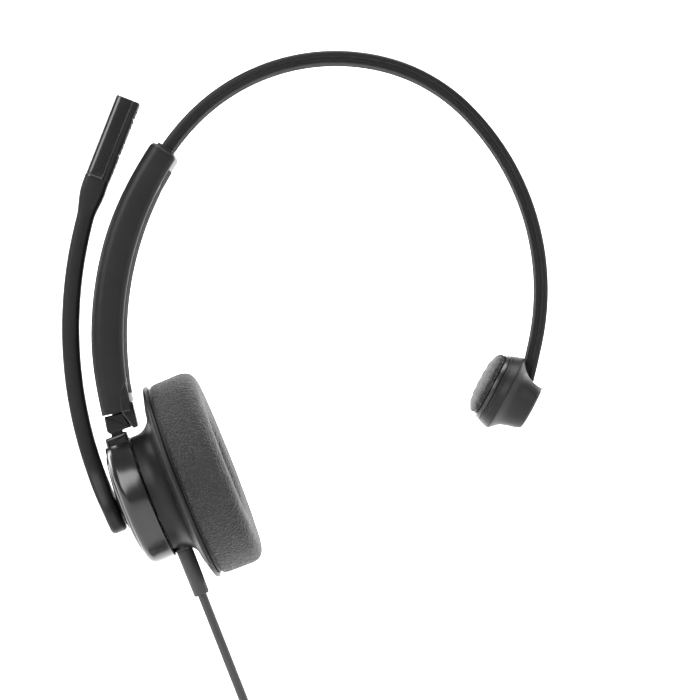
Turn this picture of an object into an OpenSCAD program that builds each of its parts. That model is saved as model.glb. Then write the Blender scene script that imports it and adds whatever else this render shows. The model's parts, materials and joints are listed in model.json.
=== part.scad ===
// Office headset for one ear: sprung headband with a temple pad at one end, a sliding arm,
// a swivelling and tilting ear cup, a turning microphone boom and a coiled USB cord.
// Millimetres, +Z up, +X towards the temple pad, +Y towards the back.
// The origin lies in the middle of the space that the head fills.

/* [Headband] */
// Thickness of the moulded band
band_t = 4.1; // [3:0.1:6]
// Depth of the band from front to back
band_d = 15; // [10:0.5:22]
// Radius of the band where it slides in the arm
slide_r = 107; // [90:1:125]
// Radius of the crown above the arm
crown_r = 69; // [60:1:80]
// Radius of the top of the band
top_r = 64; // [56:1:72]
// Radius of the shoulder over the temple pad
shoulder_r = 56.5; // [50:0.5:66]
// Radius of the side that comes down to the temple pad
side_r = 81; // [70:1:95]
// Radius of the nearly straight end that enters the temple pad
end_r = 300; // [150:10:500]
// Thickness of the sprung steel strip inside the band
strip_t = 0.6; // [0.4:0.1:1]
// Thickness of the slider at the band's end
slider_t = 3.2; // [2.4:0.1:3.6]
// Depth of the slider from front to back
slider_d = 12; // [8:0.5:14]

/* [Arm] */
// Inner radius of the arm
arm_in = 102.5; // [98:0.5:104]
// Outer radius of the arm
arm_out = 112.7; // [110:0.1:116]
// Depth of the arm from front to back
arm_d = 20; // [16:0.5:26]
// Thickness of the cover on the head's side of the arm
cover_t = 2.2; // [1.4:0.1:3]

/* [Ear cup] */
// Lean of the cup's axis above level
cup_lean = 21.5; // [10:0.5:35]
// Radius of the ear cushion
cushion_r = 32.6; // [28:0.2:36]
// Thickness of the ear cushion
cushion_t = 14.2; // [10:0.2:20]
// Radius of the opening in the cushion
cushion_hole_r = 14; // [8:0.5:18]
// Outer radius of the neck behind the flared shell
neck_r = 19.3; // [17:0.1:22]
// Outer radius of the hub
hub_r = 21.3; // [19:0.1:24]
// Radius of the hinge pin
pin_r = 1.25; // [1:0.05:1.75]

/* [Boom] */
// Thickness of the boom across its curve
boom_t = 5.6; // [4:0.1:8]
// Depth of the boom from front to back
boom_d = 6.4; // [5:0.1:9]
// Radius of the round foot of the boom
foot_r = 7.8; // [6:0.1:10]
// Width of the microphone capsule
mic_w = 8; // [6:0.1:11]
// Length of the microphone capsule
mic_len = 27; // [20:0.5:36]

/* [Temple pad] */
// Lean of the temple pad below level
pad_lean = 28; // [15:0.5:40]
// Half of the pad's height
pad_half = 12.5; // [10:0.5:16]
// Length of the pad from front to back
pad_len = 42; // [34:1:56]

/* [Cord] */
// Diameter of the cord
cord_d = 3; // [2.4:0.1:4]
// Mean radius of the coiled cord
coil_r = 18; // [16:0.5:26]
// Straight length that leaves the strain relief
cord_straight = 36; // [20:1:50]

/* [Hidden] */
$fn = 96;

charcoal = [0.13, 0.13, 0.14];
black = [0.06, 0.06, 0.065];
grey = [0.3, 0.3, 0.32];
steel = [0.7, 0.71, 0.73];
gold = [0.8, 0.65, 0.3];
board_green = [0.05, 0.3, 0.16];

// Space left between pieces that move past each other
gap = 0.3;
// Radial clearance of every turning fit
fit = 0.05;

// Centre of the arc that the slider and the arm share
slide_x = 36;
slide_z = -22.5;
// Angle at which the band leaves the arm
mouth_a = 146.3;
// Angle at which the arm ends
arm_end_a = 193.3;
// Angle at which the slider ends, and the room behind it
slider_end_a = 184;
track_end_a = 186;
// Angle of the cover's two ends on the arm
cover_from_a = 149;
cover_to_a = 190.5;

// Each arc of the band above the arm: radius and angle turned, from the arm to the temple pad
band_arcs = [[crown_r, 12], [top_r, 59], [shoulder_r, 30], [side_r, 57], [end_r, 2.4]];

function polar(c, r, a) = [c[0] + r * cos(a), c[1] + r * sin(a)];
// Points of an arc in the plane
function arc(c, r, a, b, n) = [for (i = [0:n]) polar(c, r, a + (b - a) * i / n)];
// Start of arc i of the band: [point, heading]
function band_at(i) = i == 0
  ? [polar([slide_x, slide_z], slide_r, mouth_a), mouth_a - 90]
  : arc_leaves(band_at(i - 1), band_arcs[i - 1]);
function arc_centre(s, r) = polar(s[0], r, s[1] - 90);
function arc_leaves(s, bend) =
  [polar(arc_centre(s, bend[0]), bend[0], s[1] + 90 - bend[1]), s[1] - bend[1]];
band_end = band_at(len(band_arcs));

// Ear cup's centre at the back of the cushion
cup_x = -47.7;
cup_z = -69.1;
// Hinge pin in the cup's own frame: down the disc and along its axis
hinge_down = -18;
hinge_out = -14.6;
// Swivel post in the arm's end
swivel_r = 107.8;
swivel_at = polar([slide_x, slide_z], swivel_r, arm_end_a);
swivel_lean = arm_end_a - 180;
post_r = 2;
// Hinge pin seen from the swivel post: towards the head and down
hinge_from_post = [
  cup_x + hinge_out * cos(cup_lean) + hinge_down * sin(cup_lean) - swivel_at[0],
  cup_z + hinge_out * sin(cup_lean) - hinge_down * cos(cup_lean) - swivel_at[1]
];
tang_x = hinge_from_post[0] * cos(swivel_lean) + hinge_from_post[1] * sin(swivel_lean);
tang_z = hinge_from_post[1] * cos(swivel_lean) - hinge_from_post[0] * sin(swivel_lean);
knuckle_x = -0.8;

// Temple pad's centre at its pivot
pad_x = 55.7;
pad_z = -41.3;
pad_pivot_n = 3.2;
pad_straight = pad_len / 2 - pad_half;

// Boom: radius and centre of its two long arcs, then the angles where they meet and end
boom_c = [51.5, -20.2];
boom_r = 135.4;
boom_foot_a = 205.4;
boom_mid_a = 168.4;
boom_top_r = 161.4;
boom_top_a = 162;
boom_top_c = polar(boom_c, boom_top_r - boom_r, boom_mid_a + 180);
// Last bend of the boom before the straight capsule
boom_tip_r = 60;
boom_tip_a = 3.5;
boom_top = polar(boom_top_c, boom_top_r, boom_top_a);
boom_tip_c = polar(boom_top, boom_tip_r, boom_top_a + 180);
boom_tip = polar(boom_tip_c, boom_tip_r, boom_top_a - boom_tip_a);
mic_heading = boom_top_a - 90 - boom_tip_a;

// Places one module in the ear cup's frame: z towards the ear, x down the disc
module in_cup() translate([cup_x, 0, cup_z]) rotate([0, 90 - cup_lean, 0]) children();
// Places one module in the temple pad's frame: z away from the head, x down
module in_pad() translate([pad_x, 0, pad_z]) rotate([0, 90 + pad_lean, 0]) children();
// Places one module on the swivel post: z up the post, x towards the head
module in_swivel() translate([swivel_at[0], 0, swivel_at[1]]) rotate([0, -swivel_lean, 0]) children();
// Places one module at the boom's tip: z along the capsule, x towards the head
module in_mic() translate([boom_tip[0], 0, boom_tip[1]]) rotate([0, 90 - mic_heading, 0]) children();

// Sweeps a section, drawn as radius and depth, between two angles about an axis along Y
module swept(c, a, b) translate([c[0], 0, c[1]]) rotate([90, 0, 0]) rotate([0, 0, min(a, b)])
  rotate_extrude(angle = abs(b - a)) children();
// Sweeps a section about the centre that the arm and slider share
module on_slide(a, b) swept([slide_x, slide_z], a, b) children();
// Stands a flat outline up in the plane of the band
module upright(depth) rotate([90, 0, 0]) linear_extrude(depth, center = true) children();
// Pin or bore along Y
module across(r, len) rotate([90, 0, 0]) cylinder(r = r, h = len, center = true);
// Turns a section about Z
module turned() rotate_extrude() children();
// Runs a section, drawn as radius and height, around a track with straight sides
module tracked(straight) {
  for (s = [0, 180])
    rotate([0, 0, s]) translate([0, straight, 0]) rotate_extrude(angle = 180) children();
  for (s = [0, 180])
    rotate([0, 0, s]) rotate([90, 0, 0]) linear_extrude(2 * straight, center = true) children();
}
// Box given by its two corners
module block(a, b) translate(a) cube(b - a);

// Bevelled strip section, radius along x and depth along y
module strip_section(r, t, d, bevel) polygon([
  [r - t / 2, -d / 2 + bevel], [r - t / 2 + bevel * 0.6, -d / 2],
  [r + t / 2 - bevel, -d / 2], [r + t / 2, -d / 2 + bevel],
  [r + t / 2, d / 2 - bevel], [r + t / 2 - bevel, d / 2],
  [r - t / 2 + bevel * 0.6, d / 2], [r - t / 2, d / 2 - bevel]
]);

// ---------------------------------------------------------------- headband

spring_slot_t = strip_t + 0.1;
spring_slot_d = 9.2;
spring_d = 9;
spring_from_a = 165;
// Facets of the band turn by about this many degrees
band_step = 4;

// Rings along the band: [point, heading], from the arm to the temple pad
function arc_rings(s, bend, n) = [for (k = [0:n - 1])
  [polar(arc_centre(s, bend[0]), bend[0], s[1] + 90 - bend[1] * k / n), s[1] - bend[1] * k / n]];
band_rings = concat(
  [for (i = [0:len(band_arcs) - 1])
    each arc_rings(band_at(i), band_arcs[i], ceil(band_arcs[i][1] / band_step))],
  [band_end]
);
// Rings along the slider, backwards from the band's first ring
slider_steps = 8;
spring_rings = concat(
  [for (k = [slider_steps:-1:1])
    let (a = mouth_a + (spring_from_a - mouth_a) * k / slider_steps)
    [polar([slide_x, slide_z], slide_r, a), a - 90]],
  band_rings
);

// Sweeps a section, drawn as height over the band and depth, along a list of rings; caps are its convex parts
module along(rings, section, caps) {
  n = len(section);
  parts = is_undef(caps) ? [[for (k = [0:n - 1]) k]] : caps;
  m = len(rings);
  points = [for (ring = rings, q = section)
    [ring[0][0] - q[0] * sin(ring[1]), q[1], ring[0][1] + q[0] * cos(ring[1])]];
  walls = [for (i = [0:m - 2], k = [0:n - 1])
    [i * n + k, i * n + (k + 1) % n, (i + 1) * n + (k + 1) % n, (i + 1) * n + k]];
  first = [for (part = parts) [for (j = [len(part) - 1:-1:0]) part[j]]];
  last = [for (part = parts) [for (k = part) (m - 1) * n + k]];
  polyhedron(points, concat(walls, first, last), convexity = 6);
}
function flat(t, d) = [[-t / 2, -d / 2], [t / 2, -d / 2], [t / 2, d / 2], [-t / 2, d / 2]];

// The cover holds the spring strip in a channel, and the liner closes it on the head's side
channel_z = spring_slot_t / 2;
cover_bevel = 1;
liner_bevel = 0.6;
module headband_cover() color(charcoal) along(band_rings, [
  [-channel_z, -band_d / 2], [band_t / 2 - cover_bevel, -band_d / 2], [band_t / 2, -band_d / 2 + cover_bevel],
  [band_t / 2, band_d / 2 - cover_bevel], [band_t / 2 - cover_bevel, band_d / 2], [-channel_z, band_d / 2],
  [-channel_z, spring_slot_d / 2], [channel_z, spring_slot_d / 2],
  [channel_z, -spring_slot_d / 2], [-channel_z, -spring_slot_d / 2]
], [[0, 1, 8, 9], [1, 2, 3, 4, 7, 8], [4, 5, 6, 7]]);
module headband_liner() color(grey) along(band_rings, [
  [-band_t / 2, -band_d / 2 + liner_bevel], [-band_t / 2 + liner_bevel, -band_d / 2],
  [-channel_z, -band_d / 2], [-channel_z, band_d / 2],
  [-band_t / 2 + liner_bevel, band_d / 2], [-band_t / 2, band_d / 2 - liner_bevel]
]);

module headband_spring() color(steel) along(spring_rings, flat(strip_t, spring_d));

// Detent notches on the outer face of the slider, one every three degrees
notch_pitch = 3;
detent_a = 163;
notch_r = 0.7;
module headband_slider() color(black) difference() {
  on_slide(mouth_a, slider_end_a) strip_section(slide_r, slider_t, slider_d, 0.4);
  on_slide(mouth_a - 1, spring_from_a + 0.5)
    translate([slide_r - spring_slot_t / 2, -spring_slot_d / 2]) square([spring_slot_t, spring_slot_d]);
  for (i = [0:6]) {
    p = polar([slide_x, slide_z], slide_r + slider_t / 2 + 0.25, detent_a + i * notch_pitch);
    translate([p[0], 0, p[1]]) across(notch_r, 5);
  }
}

// Tongue on the end of the band, with an eye for the temple pad's pin
eye_r = 2.4;
tongue_t = 2.2;
tongue_d = 7.6;
module headband_tongue() color(black) difference() {
  union() {
    in_pad() translate([0, 0, pad_pivot_n]) across(eye_r, tongue_d);
    in_pad() translate([0, 0, pad_pivot_n])
      block([-11.8, -tongue_d / 2, -tongue_t / 2], [0, tongue_d / 2, tongue_t / 2]);
    translate([band_end[0][0], 0, band_end[0][1]]) rotate([0, 270 - band_end[1], 0])
      block([-band_t / 2 + 0.4, -6, -0.8], [band_t / 2 - 0.4, 6, 1.4]);
  }
  in_pad() translate([0, 0, pad_pivot_n]) across(pin_r + fit, tongue_d + 2);
}

// Two rivets that hold the spring strip in the slider
module band_rivets() color(steel)
  for (y = [-2.5, 2.5], a = [151])
    on_rivet(a, y) cylinder(r = 0.9, h = 2.6, center = true);
module on_rivet(a, y) {
  p = polar([slide_x, slide_z], slide_r, a);
  translate([p[0], y, p[1]]) rotate([0, 90 - a, 0]) children();
}

// ---------------------------------------------------------------- arm

slot_r = slide_r;
slot_t = slider_t + 0.4;
slot_d = slider_d + 0.4;
arm_round = 3.2;
cover_out = arm_in + cover_t;

// Rounded outline of the arm, radius along x and depth along y
module arm_section() polygon(concat(
  [[arm_in, -arm_d / 2 + 1.6], [arm_in + 1.2, -arm_d / 2 + 0.3], [arm_in + 2.2, -arm_d / 2]],
  arc([arm_out - arm_round, -arm_d / 2 + arm_round], arm_round, -90, 0, 5),
  arc([arm_out - arm_round, arm_d / 2 - arm_round], arm_round, 0, 90, 5),
  [[arm_in + 2.2, arm_d / 2], [arm_in + 1.2, arm_d / 2 - 0.3], [arm_in, arm_d / 2 - 1.6]]
));
module ring_box(r0, r1, d) translate([r0, -d / 2]) square([r1 - r0, d]);
module radial(a, r) {
  p = polar([slide_x, slide_z], r, a);
  translate([p[0], 0, p[1]]) rotate([0, 90 - a, 0]) children();
}

screw_at = [[153, -7.9], [153, 7.9], [188.2, -7.4], [188.2, 7.4]];
bush_r = 3.1;
bush_len = 8;
// Skirt of the arm that hides the knuckle on the head's side
skirt_in = 4.4;
skirt_out = 5.6;
skirt_len = 5.6;
cheek_in = 6.7;
cheek_out = 7.6;

// Plate behind the knuckle with a cheek at each side of it
module hinge_skirt() difference() {
  upright(2 * cheek_out) polygon([
    [2, 1], [skirt_out, 1], [skirt_out + 0.1, 0.9 - skirt_len], [skirt_out - 0.7, -skirt_len],
    [skirt_in, -skirt_len], [skirt_in - 0.6, -4.4], [3.2, -3], [2, -0.4]
  ]);
  block([0, -cheek_in, -skirt_len - 1], [skirt_in, cheek_in, 2]);
}

module arm_shell() color(charcoal) difference() {
  union() {
    on_slide(mouth_a + 0.2, arm_end_a) arm_section();
    in_swivel() hinge_skirt();
  }
  // Seat of the inner cover
  on_slide(cover_from_a, cover_to_a) ring_box(arm_in - 1, cover_out, arm_d + 2);
  // Track of the slider, from the mouth to its end stop
  on_slide(mouth_a - 1, track_end_a) ring_box(slot_r - slot_t / 2, slot_r + slot_t / 2, slot_d);
  on_slide(cover_from_a + 0.5, track_end_a - 0.5) ring_box(cover_out - 0.5, slot_r, slot_d - 1);
  // Pocket of the detent spring
  on_slide(detent_a - 6, detent_a + 6) ring_box(slot_r, slide_r + 3.1, 8);
  // Bore of the swivel bush and the room above it for the clip
  in_swivel() translate([0, 0, -1]) cylinder(r = bush_r, h = bush_len + 4);
  for (s = screw_at) radial(s[0], 107.5) translate([0, s[1], -3.5]) cylinder(r = 0.8, h = 4.5);
}

module arm_inner_cover() color(black) difference() {
  on_slide(cover_from_a, cover_to_a) intersection() {
    arm_section();
    ring_box(arm_in - 1, cover_out, arm_d);
  }
  for (s = screw_at) radial(s[0], 107.5) translate([0, s[1], -6]) {
    cylinder(r = 0.8, h = 5);
    translate([0, 0, -1]) cylinder(r = 1.6, h = 3.1);
  }
}

// Countersunk screws that hold the cover on the arm
module arm_screws() color(steel) for (s = screw_at) radial(s[0], 107.5) translate([0, s[1], 0]) difference() {
  union() {
    translate([0, 0, -3.9]) cylinder(r = 0.8, h = 4.2);
    translate([0, 0, -4.7]) cylinder(r = 1.5, h = 0.8);
  }
  cross_recess(-4.8, 0.5);
}
module cross_recess(z, depth) for (a = [0, 90]) rotate([0, 0, a]) translate([-0.9, -0.15, z])
  cube([1.8, 0.3, depth]);

// Leaf spring with a bump that drops into the slider's notches
module detent_spring() color(steel) {
  on_slide(detent_a - 5.6, detent_a + 5.6) ring_box(slide_r + 2.55, slide_r + 3, 7);
  difference() {
    radial(detent_a, slide_r + 2.75) across(1.1, 4.4);
    on_slide(detent_a - 3, detent_a + 3) ring_box(slide_r + 2.6, slide_r + 6, 8);
    on_slide(detent_a - 3, detent_a + 3) ring_box(slide_r, slide_r + slider_t / 2 + 0.1, 8);
  }
}

module swivel_bush() color(gold) in_swivel() difference() {
  cylinder(r = bush_r, h = bush_len);
  translate([0, 0, -1]) cylinder(r = post_r + fit, h = bush_len + 2);
}

// ---------------------------------------------------------------- knuckle

knuckle_y = 6;
tang_y = 5;
tang_r = 2.3;
module knuckle() color(black) in_swivel() difference() {
  union() {
    upright(2 * knuckle_y) polygon([
      [knuckle_x - 3.3, -gap], [knuckle_x - 3.4, -5.2], [knuckle_x - 2.6, -6.1], [knuckle_x + 2.6, -5.4],
      [knuckle_x + 3.9, -5.2], [knuckle_x + 3.9, -4.8], [knuckle_x + 3.5, -3.8], [knuckle_x + 3, -gap]
    ]);
    upright(2 * tang_y) polygon([
      [tang_x - 1.9, -5.2], [tang_x - 1.9, tang_z], [tang_x + 1.9, tang_z], [tang_x + 1.9, -5.2]
    ]);
    translate([tang_x, 0, tang_z]) across(tang_r, 2 * tang_y);
    translate([0, 0, -gap]) cylinder(r = post_r, h = bush_len + 2.2 + gap);
  }
  translate([tang_x, 0, tang_z]) across(pin_r + fit, 2 * tang_y + 2);
  translate([0, 0, bush_len + 0.4]) difference() {
    cylinder(r = post_r + 1, h = 0.7);
    translate([0, 0, -1]) cylinder(r = 1.5, h = 3);
  }
}

// Spring clip in the post's groove
module swivel_clip() color(steel) in_swivel() translate([0, 0, bush_len + 0.45]) difference() {
  cylinder(r = 2.8, h = 0.6);
  translate([0, 0, -1]) cylinder(r = 1.5, h = 3);
  block([0, -1.1, -1], [4, 1.1, 2]);
}

// ---------------------------------------------------------------- hub

hub_front = -10.7;
cap_seat = -19.3;
bush_out = 3.6;
boom_post_r = 2.5;
hub_screw_r = 14.2;
hub_screw_a = [60, 240, 300];

module hub_housing() color(charcoal) in_cup() difference() {
  union() {
    difference() {
      turned() polygon(concat(
        [[16.2, hub_front], [17.3, hub_front + 1.3], [17.3, hub_front], [hub_r, hub_front]],
        arc([hub_r - 2.6, -17], 2.6, 0, -65, 5),
        [[17.2, cap_seat], [12, cap_seat], [12, cap_seat + 1.6], [hub_r - 1.8, cap_seat + 1.9],
         [hub_r - 1.8, hub_front - 1.3], [15, hub_front - 1.3], [15, hub_front]]
      ));
      // Flat across the top, under the hinge
      block([-30, -30, -30], [hinge_down - 0.9, 30, 0]);
    }
    // Saddle of the hinge
    intersection() {
      upright_saddle();
      block([-30, -8.6, -18.6], [-13, 8.6, hub_front]);
    }
    for (a = hub_screw_a) rotate([0, 0, a]) translate([hub_screw_r + 1.6, 0, cap_seat + 1.4])
      cylinder(r = 2, h = 6.2);
  }
  // Pocket in which the knuckle's tang tilts
  block([-30, -tang_y - gap, hinge_out - 2.4], [hinge_down + 2.8, tang_y + gap, hinge_out + 3.1]);
  translate([hinge_down, 0, hinge_out]) across(pin_r, 30);
  // Room for the strain relief's inner flange
  block([14, -3.2, hub_front], [neck_in + 0.1, 3.2, hub_front + 2]);
  for (a = hub_screw_a) rotate([0, 0, a])
    translate([hub_screw_r + 1.6, 0, cap_seat]) cylinder(r = 0.9, h = 9);
}
saddle_top = -21.6;
module upright_saddle() upright(18) polygon([
  [-14, -18.4], [-19, -18.4], [saddle_top + 0.6, -18], [saddle_top, -17.2], [saddle_top, -11.4],
  [saddle_top + 0.6, hub_front], [-14, hub_front]
]);

module cup_hinge_pin() color(steel) in_cup() translate([hinge_down, 0, hinge_out]) across(pin_r, 16.8);

module hub_cap() color(charcoal) in_cup() difference() {
  turned() polygon(concat(
    [[0, cap_seat - 0.05], [0, -22]],
    [for (r = [4, 8, 12, 15]) [r, -22 + r * r / 160]],
    [[16.6, -20.1], [17.2, -19.6], [17.2, cap_seat - 0.05], [11.8, cap_seat - 0.05], [11.8, cap_seat + 1.6],
     [10.6, cap_seat + 1.6], [10.6, cap_seat - 0.05]]
  ));
  translate([0, 0, -30]) cylinder(r = bush_out, h = 20);
}

module boom_bush() color(grey) in_cup() difference() {
  union() {
    translate([0, 0, -22]) cylinder(r = bush_out, h = 5);
    translate([0, 0, cap_seat]) cylinder(r = bush_out + 1.6, h = 1);
  }
  translate([0, 0, -30]) cylinder(r = boom_post_r + fit, h = 20);
}

module circuit_board() color(board_green) in_cup() {
  difference() {
    translate([0, 0, -10.4]) cylinder(r = 14.4, h = 1.2);
    translate([8, 0, -11]) cylinder(r = 1.5, h = 3);
  }
  block([-7, -4, -11.4], [-1, 4, -10.4]);
  block([3, -9, -11.2], [7, -6, -10.4]);
}

module cup_screws() color(steel) in_cup() for (a = hub_screw_a) rotate([0, 0, a])
  translate([hub_screw_r + 1.6, 0, 0]) {
    translate([0, 0, cap_seat + 0.3]) cylinder(r = 0.9, h = 8.5);
    translate([0, 0, cap_seat + 0.05]) cylinder(r = 0.9, h = 0.3);
  }

// ---------------------------------------------------------------- cup

flare_c = [25, -9];
flare_r = 5.7;
neck_in = 17.5;
relief_z = -7.9;
module cup_shell() color(charcoal) in_cup() difference() {
  turned() polygon(concat(
    [[neck_in, -10.5]],
    [for (p = arc(flare_c, flare_r + 1.8, 180, 102, 6)) p],
    [[24.6, -1.2], [31.2, -1.2], [31.2, -0.2], [32, -0.2], [32.5, -0.7], [32.5, -1.7], [32.1, -2.1]],
    [for (p = arc(flare_c, flare_r, 98, 180, 8)) p],
    [[neck_r, -10.5]]
  ));
  translate([neck_in - 2, 0, relief_z]) rotate([0, 90, 0]) cylinder(r = 2.2, h = 6);
}

module baffle_plate() color(black) in_cup() difference() {
  translate([0, 0, -1.2]) cylinder(r = 31.1, h = 1.2);
  translate([0, 0, -2]) cylinder(r = 0.9, h = 4);
  for (ring = [[6, 4], [12, 8], [18, 12]], i = [0:ring[0] - 1])
    rotate([0, 0, i * 360 / ring[0]]) translate([ring[1], 0, -2]) cylinder(r = 0.9, h = 4);
}

module speaker_basket() color(grey) in_cup() turned() polygon([
  [15.5, -1.2], [15.5, -2.4], [13.5, -4.6], [5, -4.6], [5, -4], [13.2, -4], [14.3, -2.4], [14.3, -1.2]
]);
module speaker_magnet() color(steel) in_cup() difference() {
  translate([0, 0, -8.6]) cylinder(r = 7.5, h = 4);
  translate([0, 0, -8.8]) cylinder(r = 1.6, h = 5);
}
module speaker_cone() color(grey) in_cup() turned() polygon([
  [0, -2.3], [2.5, -2.6], [4, -3.5], [9, -2.6], [12.5, -2], [14.2, -2.3],
  [14.2, -2.1], [12.5, -1.8], [9, -2.4], [4, -3.3], [2.6, -2.4], [0, -2.1]
]);
module speaker_cloth() color(black) in_cup() translate([0, 0, 0.1]) cylinder(r = 15.8, h = 0.5);
module cushion_ring() color(black) in_cup() difference() {
  cylinder(r = 31.4, h = 1.3);
  translate([0, 0, -1]) cylinder(r = 16, h = 4);
}
cushion_back = 1.3;
cushion_front = cushion_back + cushion_t;
module ear_cushion() color(black) in_cup() turned() polygon(concat(
  arc([cushion_hole_r + 4.6, cushion_front - 4.6], 4.6, 180, 90, 6),
  arc([cushion_r - 5.6, cushion_front - 5.6], 5.6, 90, 0, 7),
  arc([cushion_r - 1.4, cushion_back + 1.4], 1.4, 0, -90, 3),
  arc([cushion_hole_r + 1.4, cushion_back + 1.4], 1.4, 270, 180, 3)
));

relief_end = 36;
relief_r = 2.6;
module strain_relief() color(grey) in_cup() translate([0, 0, relief_z]) rotate([0, 90, 0]) {
  translate([0, 0, neck_in - 1.4]) cylinder(r = 2.6, h = 1.3);
  translate([0, 0, neck_in - 0.2]) cylinder(r = 2.2, h = 3);
  translate([0, 0, neck_r + 0.1])
    cylinder(r1 = relief_r + 0.1, r2 = relief_r - 0.1, h = relief_end - neck_r - 0.1);
}

// ---------------------------------------------------------------- cord

cord_sides = 8;
relief_tip = [cup_x + relief_z * cos(cup_lean) + relief_end * sin(cup_lean),
  cup_z + relief_z * sin(cup_lean) - relief_end * cos(cup_lean)];
cord_heading = -90 + cup_lean;
cord_bend_r = 40;
cord_bend_at = polar(relief_tip, cord_straight, cord_heading);
cord_bend_c = polar(cord_bend_at, cord_bend_r, cord_heading - 90);
cord_bend_end = polar(cord_bend_c, cord_bend_r, 0);
// Floor that the coil and the plug lie on
floor_z = -186;
// The coil is three turns wide and four high
turn_pitch = 3.1;
coil_half_w = turn_pitch + cord_d / 2;
coil_h = 3 * turn_pitch + cord_d;
landing_r = 14;
top_turn_z = floor_z + cord_d / 2 + 3 * turn_pitch;
landing_c = [cord_bend_end[0] - landing_r, top_turn_z + landing_r];
lead_path = concat(
  [relief_tip],
  arc(cord_bend_c, cord_bend_r, cord_heading + 90, 0, 4),
  arc(landing_c, landing_r, 0, -84, 6)
);
coil_c = [landing_c[0], coil_r + turn_pitch];
// The tail leaves the lowest turn towards the front, where the plug lies
tail_x = coil_c[0] + coil_r + turn_pitch;
tail_len = 18;

function unit(v) = v / norm(v);
function heading(path, i) = unit(path[min(i + 1, len(path) - 1)] - path[max(i - 1, 0)]);
// Tube of equal sides swept along a path that lies in one upright plane
module tube(path, r) {
  n = cord_sides;
  m = len(path);
  points = [for (i = [0:m - 1], k = [0:n - 1])
    let (h = heading(path, i), a = 360 * (k + 0.5) / n, side = r * cos(a))
    [path[i][0] - h[1] * side, r * sin(a), path[i][1] + h[0] * side]];
  walls = [for (i = [0:m - 2], k = [0:n - 1])
    [i * n + k, i * n + (k + 1) % n, (i + 1) * n + (k + 1) % n, (i + 1) * n + k]];
  ends = [[for (k = [n - 1:-1:0]) k], [for (k = [0:n - 1]) (m - 1) * n + k]];
  polyhedron(points, concat(walls, ends));
}

module cord_lead() color(grey) tube(lead_path, cord_d / 2);
module cord_coil() color(grey) translate([coil_c[0], coil_c[1], floor_z]) rotate_extrude() polygon([
  [coil_r - coil_half_w + 1.2, 0], [coil_r + coil_half_w - 1.2, 0], [coil_r + coil_half_w, 1.2],
  [coil_r + coil_half_w, coil_h - 1.2], [coil_r + coil_half_w - 1.2, coil_h],
  [coil_r - coil_half_w + 1.2, coil_h], [coil_r - coil_half_w, coil_h - 1.2], [coil_r - coil_half_w, 1.2]
]);
// Tie wrapped round the turns on the far side
tie_t = 0.8;
module cord_ties() color(black) translate([coil_c[0], coil_c[1] + coil_r, floor_z]) difference() {
  block([-3.5, -coil_half_w - tie_t, -0.02], [3.5, coil_half_w + tie_t, coil_h + tie_t]);
  block([-5, -coil_half_w - 0.05, -1], [5, coil_half_w + 0.05, coil_h + 0.05]);
}
function tail_z(t) = floor_z + cord_d / 2 + plug_rise * (1 - cos(180 * t)) / 2;
module cord_tail() color(grey) translate([tail_x, coil_c[1], 0]) rotate([0, 0, -90])
  tube([for (i = [0:6]) [tail_len * i / 6, tail_z(i / 6)]], cord_d / 2);

plug_half_t = 3.8;
plug_rise = plug_half_t - cord_d / 2;
plug_len = 22;
shell_len = 12;
module in_plug()
  translate([tail_x, coil_c[1] - tail_len, floor_z + plug_half_t]) rotate([0, 0, -90]) children();
module usb_plug_body() color(black) in_plug() difference() {
  union() {
    rotate([0, 90, 0]) cylinder(r = 2.4, h = 5);
    block([4, -7.5, -plug_half_t], [plug_len, 7.5, plug_half_t]);
  }
  block([plug_len - 4, -6, -2.25], [plug_len + 1, 6, 2.25]);
}
module usb_plug_shell() color(steel) in_plug() difference() {
  block([plug_len - 4, -6, -2.25], [plug_len + shell_len, 6, 2.25]);
  block([plug_len - 3.7, -5.7, -1.95], [plug_len + shell_len + 1, 5.7, 1.95]);
  for (y = [-2.6, 2.6]) block([plug_len + 5, y - 1, 1], [plug_len + 7.2, y + 1, 3]);
}
module usb_plug_contacts() color(gold) in_plug() {
  block([plug_len - 3.7, -5.5, -1.95], [plug_len + shell_len - 0.5, 5.5, -0.1]);
  for (y = [-3.5, -1, 1, 3.5]) block([plug_len + 1, y - 0.5, -0.1], [plug_len + 9, y + 0.5, 0.05]);
}

// ---------------------------------------------------------------- boom

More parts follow.
